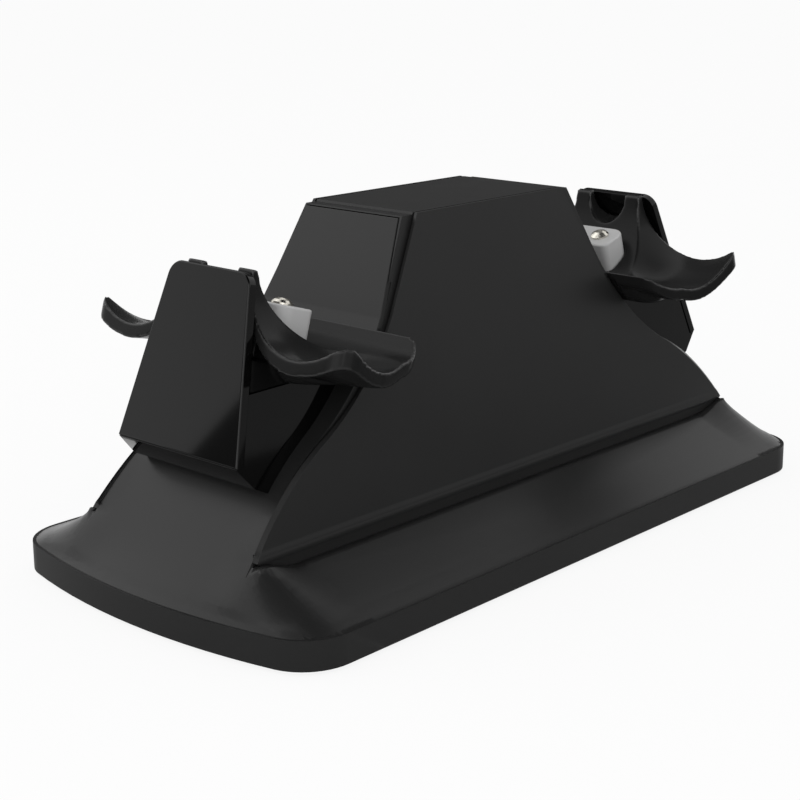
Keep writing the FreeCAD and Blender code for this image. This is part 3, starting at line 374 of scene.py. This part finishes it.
# %% [markdown]
# The edges of the seats carry painted highlights: a thin clear coat makes them catch more light than the
# hollows. Pointiness is high where the surface bulges. It drives that coat, from nothing on flat places to
# all of it on the edges. This only works on a fine, even mesh, which the seats get further down.

# %% Paint highlights on the edges of the seats
BULGE_START, BULGE_FULL, HIGHLIGHT_COAT_ROUGHNESS = 0.51, 0.56, 0.25


def painted_edge_highlights(material):
    """Gives the bulging edges of a finely meshed piece a clear coat, which paints highlights on them."""
    tree = material.node_tree
    shader = tree.nodes["Principled BSDF"]
    shape = tree.nodes.new("ShaderNodeNewGeometry")
    band = tree.nodes.new("ShaderNodeMapRange")
    band.inputs["From Min"].default_value = BULGE_START
    band.inputs["From Max"].default_value = BULGE_FULL
    link(tree, shape.outputs["Pointiness"], band.inputs["Value"])
    # Painted highlight: the coat weight follows pointiness, so only the bulging edges shine.
    link(tree, band.outputs["Result"], shader.inputs["Coat Weight"])
    shader.inputs["Coat Roughness"].default_value = HIGHLIGHT_COAT_ROUGHNESS


painted_edge_highlights(finishes["seat_black"])
print("clear coat on bulges from", BULGE_START, "to", BULGE_FULL)

# %% [markdown]
# The contacts, the inlet and the screws are metal. Metal takes its colour from the reflection, so its
# base colour is light, and fine brushing shows as a change in roughness along one direction.

# %% Make the metals
BRUSH_SCALE, BRUSH_DETAIL, BRUSH_DRIFT, METAL_BUMP = 900.0, 2.0, 0.2, 0.3

brushed_group, given, result = new_group(
    "brushed_metal",
    [("Stretch", "Vector"), ("Roughness", "Float")],
    [("Roughness", "Float"), ("Height", "Float")],
)
tree = brushed_group
stretched = tree.nodes.new("ShaderNodeVectorMath")
stretched.operation = "MULTIPLY"
link(tree, tree.nodes.new("ShaderNodeTexCoord").outputs["Object"], stretched.inputs[0])
link(tree, given.outputs["Stretch"], stretched.inputs[1])
lines = noise_node(tree, stretched.outputs["Vector"], BRUSH_SCALE, BRUSH_DETAIL)
spread = math_node(tree, "MULTIPLY", math_node(tree, "SUBTRACT", lines, NOISE_MIDDLE), BRUSH_DRIFT)
link(tree, math_node(tree, "ADD", spread, given.outputs["Roughness"]), result.inputs["Roughness"])
link(tree, lines, result.inputs["Height"])


def metal(name, colour, roughness, stretch, depth):
    """A plated or brushed metal. depth is how deep its lines are, in mm."""
    material, tree, shader = new_material(name)
    values = {"Stretch": stretch, "Roughness": roughness}
    place_group(tree, shader, brushed_group, values, METAL_BUMP, depth)
    shader.inputs["Base Color"].default_value = colour
    shader.inputs["Metallic"].default_value = 1.0
    return material


# Each row: colour, roughness, how the lines are stretched, their depth in mm.
METALS = {
    "contact_metal": ((0.72, 0.69, 0.62, 1.0), 0.25, (1.0, 1.0, 1.0), 0.002),
    "inlet_steel": ((0.7, 0.7, 0.71, 1.0), 0.3, (1.0, 8.0, 8.0), 0.004),
    "screw_steel": ((0.22, 0.22, 0.23, 1.0), 0.4, (8.0, 1.0, 8.0), 0.006),
}
for name, values in METALS.items():
    finishes[name] = metal(name, *values)
print("metals:", sorted(METALS))

# %% [markdown]
# A circuit board is green lacquer over thin copper. The brick texture serves as a simple net of tracks:
# its joints are the copper, and its bricks are the lacquer between.

# %% Make the boards
LACQUER, TRACKS = (0.012, 0.09, 0.035, 1.0), (0.05, 0.16, 0.05, 1.0)
TRACK_SCALE, TRACK_WIDTH, LACQUER_ROUGHNESS = 120.0, 0.012, 0.35

finishes["board_green"], tree, shader = new_material("board_green")
bricks = tree.nodes.new("ShaderNodeTexBrick")
bricks.inputs["Color1"].default_value = LACQUER
bricks.inputs["Color2"].default_value = LACQUER
bricks.inputs["Mortar"].default_value = TRACKS
bricks.inputs["Scale"].default_value = TRACK_SCALE
bricks.inputs["Mortar Size"].default_value = TRACK_WIDTH
link(tree, tree.nodes.new("ShaderNodeTexCoord").outputs["Object"], bricks.inputs["Vector"])
link(tree, bricks.outputs["Color"], shader.inputs["Base Color"])
shader.inputs["Roughness"].default_value = LACQUER_ROUGHNESS
print("finishes:", len(finishes))

# %% [markdown]
# The record that came with the solids names a finish for each of them. We follow it, so that a solid and
# the softer copy that may take its place look alike.

# %% Give every solid its finish
slot_of = {part["node"]: part["material_slot"] for part in frame["record"]["subparts"]}
for name, thing in nodes.items():
    thing.data.materials.clear()
    thing.data.materials.append(finishes[slot_of[name]])
print("finished", len(slot_of), "solids")

# %% [markdown]
# ## Softer edges
#
# Real mouldings have no sharp edges: each one carries a small round that catches the light as a thin
# line. For each part that shows, we copy its mesh and merge the loose triangles. Flat neighbours are
# joined into single faces, so that the bevel operator runs cleanly along the true edges. The copy then
# stands in the solid's place.

# %% Copy a solid, and show a piece in its place
TOUCHING, FLAT_ANGLE = 0.001 * MM, math.radians(0.2)


def merged_copy(name):
    """A bmesh of a solid's mesh with its doubles merged and its flat faces joined."""
    bm = bmesh.new()
    bm.from_mesh(nodes[name].data)
    bmesh.ops.remove_doubles(bm, verts=bm.verts, dist=TOUCHING)
    bmesh.ops.dissolve_limit(
        bm, angle_limit=FLAT_ANGLE, verts=bm.verts, edges=bm.edges, use_dissolve_boundaries=False,
    )
    return bm


def show_in_place(bm, name, smooth_angle=30):
    """Turns a bmesh into a piece that replaces the solid of that name."""
    slot = slot_of[name]
    mesh = bpy.data.meshes.new(name + "_soft")
    bm.to_mesh(mesh)
    bm.free()
    mesh.materials.append(finishes[slot])
    mesh.shade_smooth()
    mesh.set_sharp_from_angle(angle=math.radians(smooth_angle))
    piece = bpy.data.objects.new(name + "_soft", mesh)
    scene.collection.objects.link(piece)
    if smooth_angle < 180:
        even = piece.modifiers.new("flat faces stay flat", "WEIGHTED_NORMAL")
        even.keep_sharp = True
    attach(piece, "root")
    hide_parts(name)
    return piece


sample = merged_copy("end_panel_left")
print("end panel:", len(nodes["end_panel_left"].data.vertices), "points before,", len(sample.verts), "after")
sample.free()

# %% [markdown]
# An edge is a true one where its two faces meet at more than about 28 degrees. The flat facets of a round
# meet at less, so the bevel leaves them alone.

# %% Round the true edges
def sharp_edges(bm, angle, keep):
    """Edges whose faces meet at more than the angle. keep may leave some out by their middle."""
    limit = math.radians(angle)
    chosen = []
    for edge in bm.edges:
        if len(edge.link_faces) == 2 and edge.calc_face_angle(0.0) > limit:
            middle = (edge.verts[0].co + edge.verts[1].co) / 2
            if keep is None or keep(middle / MM):
                chosen.append(edge)
    return chosen


def rounded(name, width, segments=3, angle=28, keep=None, bm=None):
    """A copy of a solid with a round of that width, in mm, along its true edges."""
    bm = bm or merged_copy(name)
    edges = sharp_edges(bm, angle, keep)
    bmesh.ops.bevel(
        bm, geom=edges, offset=width * MM, offset_type="OFFSET", segments=segments, profile=0.5,
        affect="EDGES", clamp_overlap=True, material=-1,
    )
    bmesh.ops.remove_doubles(bm, verts=bm.verts, dist=TOUCHING)
    piece = show_in_place(bm, name)
    print(name, "edges rounded:", len(edges), "faces:", len(piece.data.polygons))
    return piece


for name in ("end_panel_left", "end_panel_right"):
    rounded(name, width=0.22)
for name in ("cradle_body_left", "cradle_body_right"):
    rounded(name, width=0.3)
for name in ("cradle_cover_left", "cradle_cover_right"):
    rounded(name, width=0.15, segments=2, angle=40)

# %% [markdown]
# ## The side plates
#
# Each plate lies on the tower with a dark seam behind its edge. On the real dock the seam is open beside
# the upper panel and closes towards the foot, where plate and tower run together. The seam is the narrow
# step behind the plate's edge, so we find the vertices of that step and push them out to the edge, the
# more the lower they are.

# %% Close the seams towards the foot
SEAM, SEAM_START, SEAM_LOW_Z, LEAST_SIDEWAYS = 0.9, 0.8, 20.5, 0.3
SEAM_OPEN_Z, SEAM_CLOSED_Z = 50.0, 36.0
ROOF_Z, ROOF_HALF, FACE_SLOPE = 90.7, 18.5, 11.5 / 70.9


def behind_face(y, z):
    """How far a point lies behind the leaning outer face of the plates, in mm."""
    return ROOF_HALF + FACE_SLOPE * (ROOF_Z - z) - abs(y)


def closed_seam(name):
    """A copy of a side plate whose seam step runs out to the plate's edge near the foot."""
    bm = merged_copy(name)
    moved = 0
    for vert in bm.verts:
        x, y, z = vert.co / MM
        if behind_face(y, z) < SEAM_START or not SEAM_LOW_Z <= z <= SEAM_OPEN_Z:
            continue
        share = min(1.0, (SEAM_OPEN_Z - z) / (SEAM_OPEN_Z - SEAM_CLOSED_Z))
        out = Vector((vert.normal.x, 0.0, vert.normal.z))
        if out.length < LEAST_SIDEWAYS:
            continue
        vert.co += out.normalized() * SEAM * share * MM
        moved += 1
    print(name, "seam points moved:", moved)
    return bm


plates = {name: closed_seam(name) for name in ("front_plate", "back_plate")}

# %% [markdown]
# The lower edge of each plate stands a little proud of the face above it, as a soft roll that fades
# towards the ends. A few level cuts give that edge points, and an S curve moves them outwards. The
# faces of the plate's narrow upper edge, picked by which way they face, take the housing's finish,
# which mirrors less: this is painted shade that makes that edge darker than the broad face.

# %% Raise the roll along the plate's foot
ROLL_TOP, ROLL_FULL, ROLL_PROUD, ROLL_DEPTH = 22.4, 20.9, 0.6, 1.3
ROLL_CUTS = (ROLL_TOP, 22.0, 21.6, 21.2, ROLL_FULL)
LIP_END, LIP_FADE, LIP_LOSS = 96.4, 11.0, 0.7
CUT_SNAP = 0.01 * MM


def smooth_step(value):
    """0 below 0, 1 above 1, and a soft S between."""
    value = max(0.0, min(1.0, value))
    return value * value * (3 - 2 * value)


def slice_all(bm, point, normal):
    """Cuts everything with one plane."""
    geometry = list(bm.verts) + list(bm.edges) + list(bm.faces)
    bmesh.ops.bisect_plane(bm, geom=geometry, dist=CUT_SNAP, plane_co=Vector(point) * MM, plane_no=normal)


def raise_roll(bm, outwards):
    """Stands the plate's lower edge proud of its face. outwards is -1 for the front, 1 for the back."""
    for level in ROLL_CUTS:
        slice_all(bm, (0, 0, level), (0, 0, 1))
    for vert in bm.verts:
        x, y, z = vert.co / MM
        if z > ROLL_TOP or behind_face(y, z) > ROLL_DEPTH:
            continue
        rise = smooth_step((ROLL_TOP - z) / (ROLL_TOP - ROLL_FULL))
        fade = 1 - LIP_LOSS * smooth_step((abs(x) - LIP_END + LIP_FADE) / LIP_FADE)
        vert.co.y += outwards * ROLL_PROUD * rise * fade * MM


for name, outwards in (("front_plate", -1), ("back_plate", 1)):
    raise_roll(plates[name], outwards)
    print(name, "points with the roll:", len(plates[name].verts))

# %% Round the plates and paint shade on their upper edges
EDGE_TURN, EDGE_UP, EDGE_LOW_Z = 0.6, 0.05, 17

for name, bm in plates.items():
    plate = rounded(name, width=0.22, bm=bm)
    # Painted shade: the upward-facing faces of the plate's upper edge take the housing finish, which mirrors
    # less, so the edge looks darker.
    plate.data.materials.append(finishes["housing_black"])
    for face in plate.data.polygons:
        painted_shade_edge = abs(face.normal.y) < EDGE_TURN and face.normal.z > EDGE_UP
        if painted_shade_edge and face.center.z > EDGE_LOW_Z * MM:
            face.material_index = 1

# %% [markdown]
# ## The base
#
# The ends of the base flow up into the tower in one hollow curve, and the ridge at each corner is a broad
# soft round that climbs to the tip of the plate. The solid has a slight crease and a lower ridge there.
# We lay a fine grid over each end like a cloth, let it drop onto the solid, lift it a little at the two
# plate tips, and smooth it. The copy of the base is cut into small cells, and its skin is then lifted
# onto the cloth. The rim and the walls of the tower stay as they are.

# %% Cut the ends of the base into small cells
END_X, RIM_Z, LEDGE_Z, SKIN_TOP = 82.0, 8.3, 16.1, 33.0
PLATE_IN, PLATE_OUT, TIP_X = 25.5, 31.9, 97.2
SKIN_LOW, LEDGE_BAND = RIM_Z + 0.1, LEDGE_Z + 3.3
LOOKS_DOWN, LOOKS_SIDEWAYS = -0.02, 0.9
CELL_UP, CELL_ACROSS, CELL_ALONG = 1.1, 2.0, 1.5
CELLS_UP, HALF_CELLS_ACROSS, CELLS_ALONG = 22, 26, 17


def is_end_skin(face):
    """True for the outer faces of the slope at the two ends."""
    x, y, z = face.calc_center_median() / MM
    if abs(x) < END_X or z < SKIN_LOW or z > SKIN_TOP or face.normal.z < LOOKS_DOWN:
        return False
    return z < LEDGE_BAND or abs(face.normal.y) < LOOKS_SIDEWAYS


def slice_skin(bm, point, normal):
    """Cuts only the end skin with one plane."""
    faces = [face for face in bm.faces if is_end_skin(face)]
    edges = {edge for face in faces for edge in face.edges}
    verts = {vert for face in faces for vert in face.verts}
    geometry = list(verts) + list(edges) + faces
    bmesh.ops.bisect_plane(bm, geom=geometry, dist=CUT_SNAP, plane_co=Vector(point) * MM, plane_no=normal)


base = merged_copy("housing")
whole = BVHTree.FromBMesh(base)
for side in (-1, 1):
    slice_all(base, (side * END_X, 0, 0), (1, 0, 0))
for step in range(1, CELLS_UP + 1):
    slice_skin(base, (0, 0, RIM_Z + step * CELL_UP), (0, 0, 1))
for step in range(-HALF_CELLS_ACROSS, HALF_CELLS_ACROSS + 1):
    slice_skin(base, (0, step * CELL_ACROSS, 0), (0, 1, 0))
for step in range(1, CELLS_ALONG + 1):
    for side in (-1, 1):
        slice_skin(base, (side * (END_X + step * CELL_ALONG), 0, 0), (1, 0, 0))
print("faces after the cuts:", len(base.faces))

# %% [markdown]
# A ray straight down from above the dock finds the height of the solid under each point of the cloth.
# The points over the slope are free to move when the cloth is smoothed. Those over the rim, the tower and
# the plates are held, so the cloth stays joined to them.

# %% Measure and lift the cloth
CLOTH_LONG, CLOTH_WIDE, CLOTH_CELL = 28.0, 112.0, 0.75
RAISE, RAISE_START, RAISE_REACH, RAISE_INWARDS = 3.9, 83.0, 20.0, 9.0
ABOVE_ALL = 0.12


def drop(tree, x, y):
    """Height in mm of the first surface under a point, or None beside the dock."""
    hit = tree.ray_cast(Vector((x * MM, y * MM, ABOVE_ALL)), Vector((0, 0, -1)))[0]
    return None if hit is None else hit.z / MM


def lift_at(x, y, height):
    """How far the cloth is lifted, most at the tips of the plates."""
    x, y = abs(x), abs(y)
    along = smooth_step((x - RAISE_START) / (TIP_X - RAISE_START))
    away = math.hypot(max(0.0, x - TIP_X), max(0.0, y - PLATE_OUT))
    lift = RAISE * along * smooth_step(1 - away / RAISE_REACH)
    if y < PLATE_OUT:
        inwards = smooth_step(1 - (PLATE_OUT - y) / RAISE_INWARDS)
        lift = max(0.0, LEDGE_Z + lift - height) * inwards
    return lift


print("height of the solid at a plate's tip, in mm:", drop(whole, -TIP_X, -PLATE_OUT))

# %% Lay the cloth over the ends and smooth it
BESIDE_RIM, SLOPE_LOW, SLOPE_TOP, SLOPE_X = RIM_Z - 0.2, RIM_Z + 0.7, SKIN_TOP - 2.0, END_X + 1.0
TIP_INSIDE, LEDGE_LOW, LEDGE_HIGH = TIP_X - 0.3, LEDGE_Z + 0.1, LEDGE_Z + 3.0
CLOTH_ROUNDS, HALFWAY = 130, 0.5


def cloth_over(side):
    """The smoothed cloth over one end, as a tree that heights are read from."""
    cloth = bmesh.new()
    columns, rows = int(CLOTH_LONG / CLOTH_CELL), int(CLOTH_WIDE / CLOTH_CELL)
    bmesh.ops.create_grid(cloth, x_segments=columns, y_segments=rows, size=0.5)
    bmesh.ops.scale(cloth, vec=(CLOTH_LONG * MM, CLOTH_WIDE * MM, 1.0), verts=cloth.verts)
    bmesh.ops.translate(cloth, vec=(side * (END_X + CLOTH_LONG / 2) * MM, 0, 0), verts=cloth.verts)
    free, lost = [], []
    for vert in cloth.verts:
        x, y = vert.co.x / MM, vert.co.y / MM
        height = drop(whole, x, y)
        if height is None or height < BESIDE_RIM:
            lost.append(vert)
            continue
        behind_plate = abs(x) < TIP_INSIDE and PLATE_IN < abs(y) < PLATE_OUT
        on_slope = SLOPE_LOW < height < SLOPE_TOP and abs(x) > SLOPE_X
        if on_slope and not (behind_plate and (height > LEDGE_HIGH or height < LEDGE_LOW)):
            free.append(vert)
        from_rim = min(1.0, max(0.0, (height - RIM_Z) / (LEDGE_Z - RIM_Z)))
        vert.co.z = (height + lift_at(x, y, height) * from_rim) * MM
    bmesh.ops.delete(cloth, geom=lost, context="VERTS")
    for _ in range(CLOTH_ROUNDS):
        bmesh.ops.smooth_vert(
            cloth, verts=free, factor=HALFWAY, use_axis_x=False, use_axis_y=False, use_axis_z=True,
        )
    print("cloth points free:", len(free), "beside the dock:", len(lost))
    tree = BVHTree.FromBMesh(cloth)
    cloth.free()
    return tree


cloths = {side: cloth_over(side) for side in (-1, 1)}

# %% [markdown]
# Each point of the skin now moves straight up or down to the cloth. Near the rim only a share of the way
# counts, so that the rim keeps its line, and the strip that a plate hides is left alone.

# %% Lift the skin onto the cloth
LIFT_LOW, LIFT_BLEND, PLATE_HIDES, FURTHEST_LIFT = RIM_Z + 0.5, 2.0, PLATE_OUT - 2.4, RAISE + 0.8
CELL_MERGE = 0.02 * MM

lifted = 0
for vert in base.verts:
    x, y, z = vert.co / MM
    if abs(x) < SLOPE_X or not LIFT_LOW < z < SLOPE_TOP:
        continue
    if not any(is_end_skin(face) for face in vert.link_faces):
        continue
    if abs(x) < TIP_INSIDE and PLATE_IN < abs(y) < PLATE_HIDES and not LEDGE_LOW < z < LEDGE_HIGH:
        continue
    height = drop(cloths[-1 if x < 0 else 1], x, y)
    if height is not None and abs(height - z) < FURTHEST_LIFT:
        share = smooth_step((z - LIFT_LOW) / LIFT_BLEND)
        vert.co.z = (z + (height - z) * share) * MM
        lifted += 1
bmesh.ops.remove_doubles(base, verts=base.verts, dist=CELL_MERGE)
base.normal_update()
print("skin points lifted:", lifted)

# %% [markdown]
# The base then gets its small rounds, as the other pieces did. Only the edges that show are rounded: the
# top of the rim all round, and those of the tower above the ledge.

# %% Round the rim and the roof
RIM_FROM_Z, RIM_TO_Z, RIM_FROM_Y, RIM_FROM_X = 7.5, 9.0, 52.0, 98.0
TOWER_FROM_Z, ROOF_FROM_Z, TOWER_FROM_Y = 20.0, 88.0, 15.0


def on_the_outside(middle):
    """True on the outer edges of the housing: the rim's top and the tower above the ledge."""
    x, y, z = middle
    on_rim = RIM_FROM_Z < z < RIM_TO_Z and (abs(y) > RIM_FROM_Y or abs(x) > RIM_FROM_X)
    on_tower = z > TOWER_FROM_Z and (z > ROOF_FROM_Z or abs(y) > TOWER_FROM_Y)
    return on_rim or on_tower


rounded("housing", width=0.35, keep=on_the_outside, bm=base)

# %% [markdown]
# ## The seats
#
# Each seat is one flowing moulding: two posts with a U notch between them, a trough for the controller's
# middle, and two scooped wings for its grips. Nothing on it is sharp. A voxel remesh turns the copy into
# an even skin, and a few rounds of smoothing melt the edges. The neck under the posts lies deep in shade
# between the wings, and that shade is painted: its faces take a darker, duller finish of their own. They
# are found by their height along the seat's lean and their distance from the middle.

# %% Shape the soft seats
VOXEL, MELT_FACTOR, MELT_ROUNDS = 0.4 * MM, 0.5, 7
NECK_TOP, NECK_HALF = 25.6, 18.9
CRADLE_X, CRADLE_Z, LEAN_SIN, LEAN_COS = 94.2, 39.8, 0.2874, 0.9578


def soft_seat(name):
    """A smoothed copy of one seat, with painted shade on its neck: a darker, duller finish there."""
    bm = bmesh.new()
    bm.from_mesh(nodes[name].data)
    bmesh.ops.remove_doubles(bm, verts=bm.verts, dist=TOUCHING)
    piece = show_in_place(bm, name, smooth_angle=180)
    remesh = piece.modifiers.new("skin", "REMESH")
    remesh.mode = "VOXEL"
    remesh.voxel_size = VOXEL
    remesh.use_smooth_shade = True
    settle = piece.modifiers.new("settle", "SMOOTH")
    settle.factor = MELT_FACTOR
    settle.iterations = MELT_ROUNDS
    bpy.context.view_layer.update()
    shaped = bpy.data.meshes.new_from_object(piece.evaluated_get(bpy.context.evaluated_depsgraph_get()))
    piece.modifiers.clear()
    # Painted shade: the neck faces deep between the wings take the darker, duller neck finish.
    shaped.materials.append(finishes["neck_painted_shade"])
    for face in shaped.polygons:
        x, y, z = face.center / MM
        up_the_lean = LEAN_SIN * (CRADLE_X - abs(x)) + LEAN_COS * (z - CRADLE_Z)
        if up_the_lean < NECK_TOP and abs(y) < NECK_HALF:
            face.material_index = 1
    piece.data = shaped
    print(name, "faces:", len(shaped.polygons))


for name in ("cradle_tray_left", "cradle_tray_right"):
    soft_seat(name)
for name in ("plug_block_left", "plug_block_right"):
    rounded(name, width=0.2, segments=2, angle=40)
